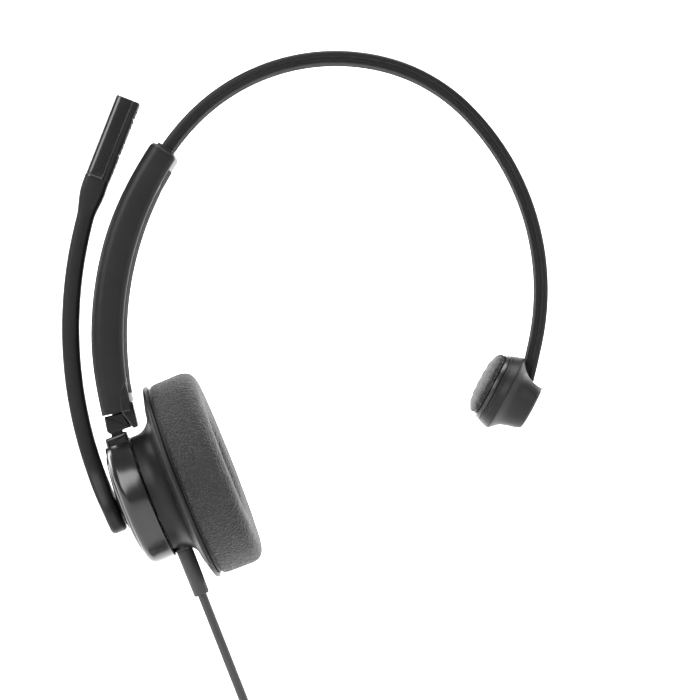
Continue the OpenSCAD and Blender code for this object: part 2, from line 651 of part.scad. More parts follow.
boom_face = -22.3;
module boom_section(r, t, d) polygon(concat(
  [[r - t / 2, -d / 2 + 1.6], [r - t / 2 + 1.6, -d / 2]],
  arc([r + t / 2 - 2, -d / 2 + 2], 2, -90, 0, 4),
  arc([r + t / 2 - 2, d / 2 - 2], 2, 0, 90, 4),
  [[r - t / 2 + 1.6, d / 2], [r - t / 2, d / 2 - 1.6]]
));
module boom_arm() color(charcoal) difference() {
  union() {
    swept(boom_c, boom_foot_a, boom_mid_a) boom_section(boom_r, boom_t, boom_d);
    swept(boom_top_c, boom_mid_a, boom_top_a + 3) boom_section(boom_top_r, boom_t, boom_d);
    in_cup() translate([0, 0, boom_face - 5]) cylinder(r = foot_r - 0.8, h = 5);
    in_cup() translate([0, 0, boom_face - 4.2]) cylinder(r = foot_r, h = 3.4);
    // Neck that widens into the head of the boom
    upright(boom_d) polygon([
      polar(boom_top_c, boom_top_r + boom_t / 2, boom_top_a + 3),
      polar(boom_top_c, boom_top_r - boom_t / 2, boom_top_a + 3),
      polar(boom_top_c, boom_top_r - mic_w / 2, boom_top_a),
      polar(boom_top_c, boom_top_r + mic_w / 2, boom_top_a)
    ]);
    // Keys buried across the joints of the neck
    for (a = [boom_top_a, boom_top_a + 3, boom_mid_a]) {
      p = polar(boom_top_c, boom_top_r, a);
      translate([p[0], 0, p[1]]) rotate([0, 180 - a, 0]) cube([3.4, boom_d - 2.4, 3], center = true);
    }
    swept(boom_tip_c, boom_top_a - boom_tip_a, boom_top_a) boom_section(boom_tip_r, mic_w, boom_d + 0.8);
    in_mic() block([-mic_w / 2 + 1.6, -2, -0.5], [mic_w / 2 - 1.6, 2, 2.8]);
  }
  in_cup() translate([0, 0, boom_face - 2.5]) cylinder(r = boom_post_r, h = 5);
}

module boom_pivot() color(black) in_cup() difference() {
  union() {
    translate([0, 0, boom_face - 2.5]) cylinder(r = boom_post_r, h = 9);
    translate([0, 0, boom_face]) cylinder(r = 3.2, h = 0.1);
  }
  translate([0, 0, -16.6]) difference() {
    cylinder(r = 4, h = 0.7);
    translate([0, 0, -1]) cylinder(r = 1.9, h = 3);
  }
}
module boom_retainer() color(steel) in_cup() translate([0, 0, -16.55]) difference() {
  cylinder(r = 4.6, h = 0.6);
  translate([0, 0, -1]) cylinder(r = 1.9, h = 3);
  block([0, -1.4, -1], [6, 1.4, 2]);
}

// Capsule with the slotted strip along the head's side
mic_from = 0.1;
module mic_housing() color(black) in_mic() difference() {
  intersection() {
    upright(boom_d + 1.6) polygon([
      [-mic_w / 2, mic_from], [-mic_w / 2, mic_len - 1.4], [-mic_w / 2 + 1.2, mic_len],
      [mic_w / 2 - 1, mic_len], [mic_w / 2, mic_len - 1.2], [mic_w / 2, mic_from]
    ]);
    linear_extrude(mic_len + 1) polygon(concat(
      arc([-mic_w / 2 + 2.6, -1.4], 2.6, 180, 270, 4), arc([mic_w / 2 - 2, -2], 2, 270, 360, 3),
      arc([mic_w / 2 - 2, 2], 2, 0, 90, 3), arc([-mic_w / 2 + 2.6, 1.4], 2.6, 90, 180, 4)
    ));
  }
  block([-mic_w / 2 + 1.5, -2.1, -1], [mic_w / 2 - 1.5, 2.1, mic_len - 3]);
  for (z = [12:2.4:23]) block([mic_w / 2 - 2, -1.4, z], [mic_w / 2 + 1, 1.4, z + 1.1]);
}
module mic_element() color(steel) in_mic()
  translate([0, 0, 14.5]) rotate([0, 90, 0]) cylinder(r = 2, h = 3.4, center = true);
module mic_grille() color(grey) in_mic()
  block([mic_w / 2 - 2.2, -1.9, 11], [mic_w / 2 - 1.7, 1.9, mic_len - 3.2]);

// ---------------------------------------------------------------- temple pad

module temple_pad_shell() color(charcoal) in_pad() difference() {
  tracked(pad_straight) polygon([
    [pad_half - 0.5, -4.7], [pad_half, -4.2], [pad_half, -0.9], [pad_half - 0.6, -0.2], [pad_half - 1.8, 0.9],
    [pad_half - 2.8, 2.4], [pad_half - 3.5, 4.6], [pad_half - 4.3, 6.6], [pad_half - 4.8, 7.8],
    [pad_half - 6.2, 7.8], [pad_half - 5.2, 4.6], [pad_half - 4.3, 1.8], [pad_half - 3, 0],
    [pad_half - 1.4, -1.2], [pad_half - 1.4, -4.7]
  ]);
  // Mouth for the band
  block([-pad_half - 2, -band_d / 2 - 1.2, -2.3], [-4.5, band_d / 2 + 1.2, 7.1]);
  mouth_scoop();
}
// Round cut that opens the shell's upper corner round the band
module mouth_scoop() translate([-15.5, 0, 7.5]) across(8.8, 50);
module temple_pad_cap() color(black) in_pad() difference() {
  tracked(pad_straight) polygon([
    [0, 7.8], [pad_half - 4.8, 7.8], [pad_half - 5.3, 8.4], [pad_half - 7, 8.7], [0, 8.8]
  ]);
  mouth_scoop();
}
module temple_pad_plate() color(charcoal) in_pad() tracked(pad_straight) polygon([
  [0, -4.7], [pad_half - 0.7, -4.7], [pad_half - 0.7, -6], [0, -6]
]);
module temple_pad_clevis() color(black) in_pad() difference() {
  union() {
    block([-9, -12, -4.7], [9, 12, -3.4]);
    for (s = [-1, 1]) {
      block([-3, s * 5.6 - 1.6, -3.5], [3, s * 5.6 + 1.6, pad_pivot_n]);
      translate([0, s * 5.6, pad_pivot_n]) across(3, 3.2);
    }
    for (s = [-1, 1]) translate([0, s * 10, -4]) cylinder(r = 1.8, h = 3);
  }
  translate([0, 0, pad_pivot_n]) across(pin_r, 20);
  for (s = [-1, 1]) translate([0, s * 10, -5]) cylinder(r = 0.9, h = 5);
}
module temple_pad_pin() color(steel) in_pad() translate([0, 0, pad_pivot_n]) across(pin_r, 14);
module temple_pad_screws() color(steel) in_pad()
  for (s = [-1, 1]) translate([0, s * 10, -4.6]) cylinder(r = 0.9, h = 4);
pad_cushion_back = -6;
pad_cushion_t = 4.2;
module temple_pad_cushion() color(black) in_pad() tracked(pad_straight) polygon(concat(
  [[0, pad_cushion_back], [pad_half - 1.2, pad_cushion_back]],
  arc([pad_half - 3.4, pad_cushion_back - pad_cushion_t + 3], 3, 20, -90, 6),
  [[0, pad_cushion_back - pad_cushion_t]]
));

headband_cover();
headband_liner();
headband_spring();
headband_slider();
headband_tongue();
band_rivets();
temple_pad_shell();
temple_pad_cap();
temple_pad_clevis();
temple_pad_pin();
temple_pad_plate();
temple_pad_cushion();
temple_pad_screws();
arm_shell();
arm_inner_cover();
detent_spring();
arm_screws();
swivel_bush();
knuckle();
swivel_clip();
hub_housing();
hub_cap();
cup_hinge_pin();
boom_bush();
circuit_board();
cup_screws();
cup_shell();
baffle_plate();
speaker_basket();
speaker_magnet();
speaker_cone();
speaker_cloth();
cushion_ring();
ear_cushion();
strain_relief();
cord_lead();
cord_coil();
cord_ties();
cord_tail();
usb_plug_body();
usb_plug_shell();
usb_plug_contacts();
boom_pivot();
boom_retainer();
boom_arm();
mic_housing();
mic_element();
mic_grille();
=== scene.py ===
import json
import math
import bpy
import bmesh
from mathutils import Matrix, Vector, noise


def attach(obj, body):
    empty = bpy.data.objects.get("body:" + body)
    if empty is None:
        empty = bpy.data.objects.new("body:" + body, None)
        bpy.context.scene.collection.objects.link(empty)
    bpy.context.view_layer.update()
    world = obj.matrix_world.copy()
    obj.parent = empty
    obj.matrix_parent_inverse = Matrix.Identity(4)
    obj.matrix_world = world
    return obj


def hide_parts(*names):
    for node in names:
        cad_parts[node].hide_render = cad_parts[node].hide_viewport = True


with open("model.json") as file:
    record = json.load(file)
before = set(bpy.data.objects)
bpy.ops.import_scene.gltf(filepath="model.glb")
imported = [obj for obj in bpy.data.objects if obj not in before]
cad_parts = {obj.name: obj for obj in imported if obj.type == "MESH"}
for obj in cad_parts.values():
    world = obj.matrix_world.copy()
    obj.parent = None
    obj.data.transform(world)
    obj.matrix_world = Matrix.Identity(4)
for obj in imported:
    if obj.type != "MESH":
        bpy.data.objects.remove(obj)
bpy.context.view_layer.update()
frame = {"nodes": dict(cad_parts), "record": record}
nodes = frame["nodes"]
scene = bpy.context.scene
MM = 0.001

# ------------------------------------------------------------------ places, in mm
SLIDE = (36.0, -22.5)
SLIDE_R = 107.0
MOUTH_A = 146.3
ARM_END_A = 193.3
CUP = (-47.7, -69.1)
CUP_LEAN = math.radians(21.5)
PAD = (55.7, -41.3)
PAD_LEAN = math.radians(28)
SWIVEL_R = 107.8
SWIVEL_LEAN = math.radians(13.3)
FLOOR_Z = -186.0


def polar(c, r, deg):
    a = math.radians(deg)
    return (c[0] + r * math.cos(a), c[1] + r * math.sin(a))


SWIVEL = polar(SLIDE, SWIVEL_R, ARM_END_A)


def V(x, y, z):
    return Vector((x, y, z))


def cup(x, y, z):
    c, s = math.cos(CUP_LEAN), math.sin(CUP_LEAN)
    return V(CUP[0] + z * c + x * s, y, CUP[1] + z * s - x * c)


def pad(x, y, z):
    c, s = math.cos(PAD_LEAN), math.sin(PAD_LEAN)
    return V(PAD[0] + z * c - x * s, y, PAD[1] - z * s - x * c)


def post(x, y, z):
    c, s = math.cos(SWIVEL_LEAN), math.sin(SWIVEL_LEAN)
    return V(SWIVEL[0] + x * c - z * s, y, SWIVEL[1] + x * s + z * c)


# ------------------------------------------------------------------ camera
cam_data = bpy.data.cameras.new("camera")
cam = bpy.data.objects.new("camera", cam_data)
scene.collection.objects.link(cam)
cam.location = (0.00544, -1.05, -0.0272)
cam.rotation_euler = (math.radians(90), 0, 0)
cam_data.sensor_width = 36
cam_data.lens = 36 * 1.05 / 0.224
cam_data.clip_start = 0.05
cam_data.clip_end = 20
scene.camera = cam


# ------------------------------------------------------------------ mesh helpers
def make(name, verts, faces, mat=None, smooth=True, sharp=35):
    me = bpy.data.meshes.new(name)
    me.from_pydata([tuple(Vector(v) * MM) for v in verts], [], faces)
    me.validate()
    ob = bpy.data.objects.new(name, me)
    scene.collection.objects.link(ob)
    bm = bmesh.new()
    bm.from_mesh(me)
    bmesh.ops.recalc_face_normals(bm, faces=bm.faces)
    for f in bm.faces:
        f.smooth = smooth
    lim = math.radians(sharp)
    for e in bm.edges:
        e.smooth = len(e.link_faces) == 2 and e.calc_face_angle(0) < lim
    bm.to_mesh(me)
    bm.free()
    if mat:
        me.materials.append(mat)
    return ob


def grid(rings, closed=True, caps=True):
    n = len(rings[0])
    verts = [p for ring in rings for p in ring]
    faces = []
    for i in range(len(rings) - 1):
        for k in range(n if closed else n - 1):
            a, b = i * n + k, i * n + (k + 1) % n
            faces.append((a, b, b + n, a + n))
    if caps:
        faces.append(tuple(range(n))[::-1])
        faces.append(tuple((len(rings) - 1) * n + k for k in range(n)))
    return verts, faces


def merge(*parts):
    verts, faces = [], []
    for v, f in parts:
        base = len(verts)
        verts += v
        faces += [tuple(i + base for i in q) for q in f]
    return verts, faces


def rounded(w0, w1, h, corner, n=5):
    """Rounded outline from w0 to w1 across and h deep; corner is one radius or four, from low-left round."""
    r = corner if isinstance(corner, (list, tuple)) else [corner] * 4
    spots = [(w0, -h / 2, 180), (w1, -h / 2, 270), (w1, h / 2, 0), (w0, h / 2, 90)]
    out = []
    for (x, y, a), q in zip(spots, r):
        cx = x + q if x == w0 else x - q
        cy = y + q if y < 0 else y - q
        for k in range(n + 1):
            t = math.radians(a + 90 * k / n)
            out.append((cx + q * math.cos(t), cy + q * math.sin(t)))
    return out


def lathe(profile, place, seg=128, closed=False, spin=(0, 360)):
    """Turns (radius, height) about the local z of place()."""
    full = spin == (0, 360)
    count = seg if full else seg + 1
    verts, faces = [], []
    rows = []
    for r, z in profile:
        row = []
        if r < 1e-6:
            verts.append(place(0, 0, z))
            row = [len(verts) - 1] * count
        else:
            for k in range(count):
                a = math.radians(spin[0] + (spin[1] - spin[0]) * k / seg)
                verts.append(place(r * math.cos(a), r * math.sin(a), z))
                row.append(len(verts) - 1)
        rows.append(row)
    m = len(rows)
    for i in range(m if closed else m - 1):
        a, b = rows[i], rows[(i + 1) % m]
        for k in range(count if full else count - 1):
            j = (k + 1) % count
            q = [a[k], a[j], b[j], b[k]]
            q = list(dict.fromkeys(q))
            if len(q) > 2:
                faces.append(tuple(q))
    return verts, faces


def soften(points, r, n=4):
    """Rounds the corners of an open or closed outline given as (x, y, radius) or (x, y)."""
    out = []
    m = len(points)
    for i, p in enumerate(points):
        q = p[2] if len(p) > 2 else r
        if i in (0, m - 1) or q <= 0:
            out.append((p[0], p[1]))
            continue
        a, b, c = Vector(points[i - 1][:2]), Vector(p[:2]), Vector(points[i + 1][:2])
        u, v = (a - b), (c - b)
        lu, lv = u.length, v.length
        u.normalize()
        v.normalize()
        ang = u.angle(v, math.pi)
        if ang > math.radians(176):
            out.append((p[0], p[1]))
            continue
        d = min(q / math.tan(ang / 2), lu * 0.49, lv * 0.49)
        s, e = b + u * d, b + v * d
        for k in range(n + 1):
            t = k / n
            w = s * (1 - t) ** 2 + b * 2 * t * (1 - t) + e * t ** 2
            out.append((w.x, w.y))
    return out


def box(place, lo, hi, r=0.3):
    """Small box with bevelled edges."""
    bm = bmesh.new()
    bmesh.ops.create_cube(bm, size=1)
    for v in bm.verts:
        v.co = Vector([(lo[i] + hi[i]) / 2 + v.co[i] * (hi[i] - lo[i]) for i in range(3)])
    bmesh.ops.bevel(bm, geom=list(bm.edges), offset=r, segments=3, affect="EDGES", profile=0.5)
    verts = [place(*v.co) for v in bm.verts]
    bm.verts.index_update()
    faces = [tuple(v.index for v in f.verts) for f in bm.faces]
    bm.free()
    return verts, faces


def swell(ob, voxel, pressure, cap, frames=20, stiff=12.0):
    """Fills a pad by a short cloth simulation, applied to its mesh."""
    rem = ob.modifiers.new("remesh", "REMESH")
    rem.mode = "VOXEL"
    rem.voxel_size = voxel * MM
    apply_modifiers(ob)
    start = [v.co.copy() for v in ob.data.vertices]
    cl = ob.modifiers.new("cloth", "CLOTH")
    s = cl.settings
    s.use_pressure = True
    s.uniform_pressure_force = pressure
    s.effector_weights.gravity = 0
    s.tension_stiffness = stiff
    s.compression_stiffness = stiff
    s.shear_stiffness = stiff / 2
    s.bending_stiffness = 0.6
    s.quality = 6
    cl.point_cache.frame_start = 1
    cl.point_cache.frame_end = frames
    scene.frame_start, scene.frame_end = 1, frames
    for f in range(1, frames + 1):
        scene.frame_set(f)
    apply_modifiers(ob)
    scene.frame_set(1)
    for v, a in zip(ob.data.vertices, start):
        d = v.co - a
        if d.length > cap * MM:
            v.co = a + d.normalized() * cap * MM


def apply_modifiers(ob):
    dg = bpy.context.evaluated_depsgraph_get()
    me = bpy.data.meshes.new_from_object(ob.evaluated_get(dg))
    mats = [m for m in ob.data.materials]
    ob.modifiers.clear()
    ob.data = me
    me.materials.clear()
    for m in mats:
        me.materials.append(m)
    for p in me.polygons:
        p.use_smooth = True


# ------------------------------------------------------------------ materials
def material(name):
    m = bpy.data.materials.new(name)
    m.use_nodes = True
    t = m.node_tree
    return m, t, t.nodes["Principled BSDF"]


def shade(name, dark, light, rough, grain=900.0, bump=0.06, spread=0.06, metal=0.0, coat=0.0,
          coat_rough=0.2, spec=0.5, cell=None, cell_bump=0.0, sheen=0.0, patch=60.0, stretch=None):
    """Moulded or sewn surface: fine grain in the bump, slow patches in colour and roughness."""
    m, t, b = material(name)
    n, l = t.nodes, t.links
    at = n.new("ShaderNodeTexCoord")
    src = at.outputs["Object"]
    if stretch:
        mp = n.new("ShaderNodeMapping")
        mp.inputs["Scale"].default_value = stretch
        l.new(src, mp.inputs["Vector"])
        src = mp.outputs["Vector"]
    fine = n.new("ShaderNodeTexNoise")
    fine.inputs["Scale"].default_value = grain
    fine.inputs["Detail"].default_value = 3
    slow = n.new("ShaderNodeTexNoise")
    slow.inputs["Scale"].default_value = patch
    slow.inputs["Detail"].default_value = 4
    for k in (fine, slow):
        l.new(src, k.inputs["Vector"])
    ramp = n.new("ShaderNodeValToRGB")
    ramp.color_ramp.elements[0].position = 0.3
    ramp.color_ramp.elements[1].position = 0.75
    ramp.color_ramp.elements[0].color = (*dark, 1)
    ramp.color_ramp.elements[1].color = (*light, 1)
    l.new(slow.outputs["Fac"], ramp.inputs["Fac"])
    l.new(ramp.outputs["Color"], b.inputs["Base Color"])
    rr = n.new("ShaderNodeMapRange")
    rr.inputs["To Min"].default_value = max(0.02, rough - spread)
    rr.inputs["To Max"].default_value = min(1.0, rough + spread)
    mixn = n.new("ShaderNodeMath")
    mixn.operation = "ADD"
    mixn.use_clamp = True
    half = n.new("ShaderNodeMath")
    half.operation = "MULTIPLY"
    half.inputs[1].default_value = 0.5
    l.new(fine.outputs["Fac"], half.inputs[0])
    l.new(half.outputs[0], mixn.inputs[0])
    half2 = n.new("ShaderNodeMath")
    half2.operation = "MULTIPLY"
    half2.inputs[1].default_value = 0.5
    l.new(slow.outputs["Fac"], half2.inputs[0])
    l.new(half2.outputs[0], mixn.inputs[1])
    l.new(mixn.outputs[0], rr.inputs["Value"])
    l.new(rr.outputs["Result"], b.inputs["Roughness"])
    bp = n.new("ShaderNodeBump")
    bp.inputs["Strength"].default_value = bump
    bp.inputs["Distance"].default_value = 0.0003
    l.new(fine.outputs["Fac"], bp.inputs["Height"])
    normal = bp.outputs["Normal"]
    if cell:
        vo = n.new("ShaderNodeTexVoronoi")
        vo.feature = "DISTANCE_TO_EDGE"
        vo.inputs["Scale"].default_value = cell
        wob = n.new("ShaderNodeVectorMath")
        wob.operation = "ADD"
        l.new(src, wob.inputs[0])
        sc = n.new("ShaderNodeVectorMath")
        sc.operation = "SCALE"
        sc.inputs["Scale"].default_value = 0.0006
        l.new(fine.outputs["Color"], sc.inputs[0])
        l.new(sc.outputs[0], wob.inputs[1])
        l.new(wob.outputs[0], vo.inputs["Vector"])
        cr = n.new("ShaderNodeMapRange")
        cr.inputs["From Max"].default_value = 0.18
        l.new(vo.outputs["Distance"], cr.inputs["Value"])
        b2 = n.new("ShaderNodeBump")
        b2.inputs["Strength"].default_value = cell_bump
        b2.inputs["Distance"].default_value = 0.0004
        l.new(cr.outputs["Result"], b2.inputs["Height"])
        l.new(normal, b2.inputs["Normal"])
        normal = b2.outputs["Normal"]
    l.new(normal, b.inputs["Normal"])
    b.inputs["Metallic"].default_value = metal
    b.inputs["Coat Weight"].default_value = coat
    b.inputs["Coat Roughness"].default_value = coat_rough
    b.inputs["Specular IOR Level"].default_value = spec
    b.inputs["Sheen Weight"].default_value = sheen
    return m


MATTE = shade("matte_plastic", (0.0065, 0.0065, 0.0068), (0.0085, 0.0085, 0.0088), 0.4, grain=2600,
              bump=0.2, spec=0.2)
LINER = shade("liner_plastic", (0.012, 0.012, 0.0125), (0.016, 0.016, 0.0165), 0.75, grain=2600, bump=0.25,
              spec=0.03)
SATIN = shade("satin_plastic", (0.007, 0.007, 0.0075), (0.010, 0.010, 0.0105), 0.3, grain=2200, bump=0.05,
              spread=0.04, spec=0.4)
GLOSS = shade("gloss_plastic", (0.006, 0.006, 0.0065), (0.008, 0.008, 0.0085), 0.2, grain=1500, bump=0.02,
              spread=0.03, spec=0.5)
DARK = shade("dark_plastic", (0.004, 0.004, 0.004), (0.006, 0.006, 0.006), 0.5, grain=2600, bump=0.2,
             spec=0.2)
LEATHER = shade("leatherette", (0.007, 0.007, 0.0075), (0.013, 0.013, 0.0135), 0.6, grain=950, bump=0.7,
                spread=0.12, cell=820, cell_bump=0.9, sheen=0.1, patch=420, spec=0.35)
CLOTH = shade("speaker_cloth", (0.010, 0.010, 0.010), (0.030, 0.030, 0.030), 0.9, grain=3500, bump=0.8,
              patch=900)
RUBBER = shade("cord_rubber", (0.024, 0.024, 0.025), (0.032, 0.032, 0.033), 0.5, grain=2400, bump=0.15,
               spec=0.35)
STEEL = shade("steel", (0.50, 0.50, 0.51), (0.62, 0.62, 0.63), 0.28, grain=1200, bump=0.06, metal=1.0,
              stretch=(1, 1, 12))
BRASS = shade("brass", (0.62, 0.47, 0.2), (0.75, 0.6, 0.3), 0.3, metal=1.0)
GOLD = shade("gold", (0.8, 0.6, 0.25), (0.88, 0.7, 0.35), 0.2, metal=1.0)
BOARD = shade("board", (0.01, 0.10, 0.05), (0.02, 0.16, 0.08), 0.4)
MAGNET = shade("magnet", (0.12, 0.12, 0.13), (0.18, 0.18, 0.19), 0.45, metal=0.6)
SLOT_MATERIAL = {
    "band_plastic": MATTE, "gloss_plastic": SATIN, "soft_plastic": DARK, "spring_steel": STEEL,
    "brass": BRASS, "gold_contact": GOLD, "leatherette": LEATHER, "cloth": CLOTH,
    "cord_rubber": RUBBER, "board": BOARD, "magnet": MAGNET,
}
for part in frame["record"]["subparts"]:
    node = nodes[part["node"]]
    node.data.materials.clear()
    # The arm's screws get the dark plastic in place of steel: painted shade in their wells, so the steel
    # shows no light there.
    screw_painted_shade = part["node"] == "arm_screws"
    node.data.materials.append(DARK if screw_painted_shade else SLOT_MATERIAL[part["material_slot"]])


def piece(name, parts, mat, body, stands_for=(), sharp=35):
    verts, faces = merge(*parts)
    ob = make(name, verts, faces, mat, sharp=sharp)
    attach(ob, body)
    if stands_for:
        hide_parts(*stands_for)
    return ob


# ------------------------------------------------------------------ cord
def cord_route():
    tip = (CUP[0] - 7.9 * math.cos(CUP_LEAN) + 36 * math.sin(CUP_LEAN),
           CUP[1] - 7.9 * math.sin(CUP_LEAN) - 36 * math.cos(CUP_LEAN))
    head = -90 + 21.5
    pts = [V(*(lambda q: (q[0], 0, q[1]))(polar(tip, 36 * k / 8, head))) for k in range(8)]
    at = polar(tip, 36, head)
    c = polar(at, 40, head - 90)
    for k in range(7):
        q = polar(c, 40, (head + 90) * (1 - k / 6))
        pts.append(V(q[0], 0, q[1]))
    x0 = c[0] + 40
    top = FLOOR_Z + 1.5 + 9.3
    lc = (x0 - 14, top + 14)
    pts.append(V(x0, 0, (pts[-1].z + lc[1]) / 2))
    for k in range(8):
        q = polar(lc, 14, -90 * k / 8)
        pts.append(V(q[0], 0, q[1]))
    cx, cy = lc[0], 21.1
    slots = []
    for layer in range(4):
        z = top - 3.1 * layer
        radii = [21.1, 18.0, 14.9]
        slots += [(r, z) for r in (radii if layer % 2 == 0 else radii[::-1])]
    per = 24
    total = int(11.75 * per)
    for k in range(total + 1):
        f = k / per
        i = min(int(f), 11)
        frac = f - i
        r, z = slots[i]
        if i < 11:
            s = min(max((frac - 0.6) / 0.4, 0), 1)
            s = s * s * (3 - 2 * s)
            r2, z2 = slots[i + 1]
            r, z = r + (r2 - r) * s, z + (z2 - z) * s
        a = math.radians(-90 - 360 * f)
        pts.append(V(cx + r * math.cos(a), cy + r * math.sin(a), z))
    end = pts[-1]
    for k in range(1, 7):
        t = k / 6
        pts.append(V(end.x, end.y - 18 * t, FLOOR_Z + 1.5 + 2.3 * (1 - math.cos(math.pi * t)) / 2))
    return tip, pts


tip, route = cord_route()
cv = bpy.data.curves.new("cord", "CURVE")
cv.dimensions = "3D"
cv.bevel_depth = 1.5 * MM
cv.bevel_resolution = 4
cv.use_fill_caps = True
sp = cv.splines.new("POLY")
sp.points.add(len(route) - 1)
for p, q in zip(sp.points, route):
    p.co = (*(q * MM), 1)
cord = bpy.data.objects.new("cord", cv)
scene.collection.objects.link(cord)
cv.materials.append(RUBBER)
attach(cord, "ear_cup")
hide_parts("cord_lead", "cord_coil", "cord_tail")


# ------------------------------------------------------------------ sweeps
def swept(rings, section):
    """rings are (place(h, y)), section a list of (h, y) or a function of the ring's share along the way."""
    rows = []
    m = len(rings)
    for i, ring in enumerate(rings):
        sec = section(i / (m - 1)) if callable(section) else section
        rows.append([ring(h, y) for h, y in sec])
    return grid(rows)


def inset(outline, d):
    """Moves each corner of a counter-clockwise convex outline inwards by d."""
    out = []
    m = len(outline)
    for i in range(m):
        a, b, c = Vector(outline[i - 1]), Vector(outline[i]), Vector(outline[(i + 1) % m])
        t = (c - a)
        if t.length < 1e-9:
            out.append(tuple(b))
            continue
        t.normalize()
        out.append((b.x - t.y * d, b.y + t.x * d))
    return out


def ccw(outline):
    area = sum(a[0] * b[1] - b[0] * a[1] for a, b in zip(outline, outline[1:] + outline[:1]))
    return outline if area > 0 else outline[::-1]


def closed_soften(points, r, n=4):
    """Rounds every corner of a closed outline."""
    out = []
    m = len(points)
    for i, p in enumerate(points):
        q = p[2] if len(p) > 2 else r
        a, b, c = Vector(points[i - 1][:2]), Vector(p[:2]), Vector(points[(i + 1) % m][:2])
        u, v = a - b, c - b
        lu, lv = u.length, v.length
        u.normalize()
        v.normalize()
        ang = u.angle(v, math.pi)
        if q <= 0 or ang > math.radians(175):
            out.append((b.x, b.y))
            continue
        d = min(q / math.tan(ang / 2), lu * 0.48, lv * 0.48)
        s, e = b + u * d, b + v * d
        for k in range(n + 1):
            t = k / n
            w = s * (1 - t) ** 2 + b * 2 * t * (1 - t) + e * t ** 2
            out.append((w.x, w.y))
    return out


def slab(outline, lo, hi, place, r=0.6, n=4):
    """Stands an outline between two levels, with both its rims rounded. place(a, b, level)."""
    outline = ccw(outline)
    rows = []
    steps = [(lo + r * (1 - math.cos(t)), r * (1 - math.sin(t))) for t in
             [math.pi / 2 * k / n for k in range(n + 1)]]
    for z, d in steps:
        rows.append((z, d))
    for z, d in steps[::-1]:
        rows.append((hi - (z - lo), d))
    rows = [(lo, r + 0.12)] + rows + [(hi, r + 0.12)]
    rings = []
    for z, d in rows:
        rings.append([place(a, b, z) for a, b in inset(outline, d)])
    return grid(rings)


def arc_profile(c, r, a0, a1, n):
    return [(c[0] + r * math.cos(math.radians(a0 + (a1 - a0) * k / n)),
             c[1] + r * math.sin(math.radians(a0 + (a1 - a0) * k / n))) for k in range(n + 1)]


def boolean_cut(ob, cutter_parts):
    verts, faces = merge(*cutter_parts)
    cut = make("cutter", verts, faces)
    md = ob.modifiers.new("cut", "BOOLEAN")
    md.operation = "DIFFERENCE"
    md.solver = "EXACT"
    md.object = cut
    md.use_self = len(cutter_parts) > 1
    bpy.context.view_layer.update()
    apply_modifiers(ob)
    bpy.data.objects.remove(cut)
    bm = bmesh.new()
    bm.from_mesh(ob.data)
    bmesh.ops.dissolve_degenerate(bm, dist=1e-6, edges=bm.edges)
    lim = math.radians(35)
    for e in bm.edges:
        e.smooth = len(e.link_faces) == 2 and e.calc_face_angle(0) < lim
    bm.to_mesh(ob.data)
    bm.free()
    return ob


# ------------------------------------------------------------------ headband
def band_line(step=1.5):
    at, head = polar(SLIDE, SLIDE_R, MOUTH_A), MOUTH_A - 90
    out = [(at, head)]
    for r, turn in [(69, 12), (64, 59), (56.5, 30), (81, 57), (300, 2.4)]:
        c = polar(at, r, head - 90)
        n = math.ceil(turn / step)
        for k in range(1, n + 1):
            h = head - turn * k / n
            out.append((polar(c, r, h + 90), h))
        at, head = out[-1]
    return out


def band_place(p, head):
    a = math.radians(head)
    return lambda h, y: V(p[0] - h * math.sin(a), y, p[1] + h * math.cos(a))


band = band_line()
band_ring_list = [band_place(p, h) for p, h in band]
outer_sec = [(-0.3, -7.42), (-0.12, -7.5), (0.95, -7.5), (1.35, -7.38), (1.66, -7.12), (1.84, -6.72),
             (1.9, -6.3)]
outer_sec = outer_sec + [(1.9 + 0.15 * math.cos(math.pi / 2 * y / 6.3), y) for y in (-4.5, -2.2, 0, 2.2,
    4.5)] \
    + [(h, -y) for h, y in outer_sec[::-1]]
inner_sec = [(-0.42, 7.42), (-0.6, 7.5), (-1.45, 7.5), (-1.8, 7.36), (-1.98, 7.05), (-2.05, 6.7)]
inner_sec = inner_sec + [(-2.05, y) for y in (4, 0, -4)] + [(h, -y) for h, y in inner_sec[::-1]]
piece("band_outer", [swept(band_ring_list, outer_sec)], MATTE, "headband",
      ["headband_cover"])
piece("band_inner", [swept(band_ring_list, inner_sec)], LINER, "headband",
      ["headband_liner"])


# ------------------------------------------------------------------ arm
def slide_place(deg):
    a = math.radians(deg)
    return lambda r, y: V(SLIDE[0] + r * math.cos(a), y, SLIDE[1] + r * math.sin(a))


def smooth(t):
    t = min(max(t, 0), 1)
    return t * t * (3 - 2 * t)


def arm_outline(r0, r1, half, big=3.4, small=0.8):
    pts = [(r0, -half, small), (r1, -half, big), (r1, half, big), (r0, half, small)]
    out = []
    for i, (x, y, q) in enumerate(pts):
        cx = x + q if x == r0 else x - q
        cy = y + q if y < 0 else y - q
        a0 = [180, 270, 0, 90][i]
        for k in range(9):
            t = math.radians(a0 + 90 * k / 8)
            out.append((cx + q * math.cos(t), cy + q * math.sin(t)))
    return out


def arm_rings(a, b, rim_a, rim_b, section_at, n=70):
    """Rings from angle a to b, with each end rounded over its own rim in mm."""
    rows = []
    ea, eb = math.degrees(rim_a / 107.6), math.degrees(rim_b / 107.6)
    turns = [math.pi / 2 * k / 6 for k in range(7)]
    stops = [(a, rim_a + 0.15)] + [(a + ea * (1 - math.cos(t)), rim_a * (1 - math.sin(t))) for t in turns]
    stops += [(a + ea + (b - a - ea - eb) * k / n, 0) for k in range(1, n)]
    stops += [(b - eb * (1 - math.cos(t)), rim_b * (1 - math.sin(t))) for t in turns[::-1]] + [(b,
        rim_b + 0.15)]
    for ang, d in stops:
        rows.append([slide_place(ang)(x, y) for x, y in inset(section_at(ang), d)])
    return grid(rows)


COVER_A, COVER_B = 149.0, 190.5


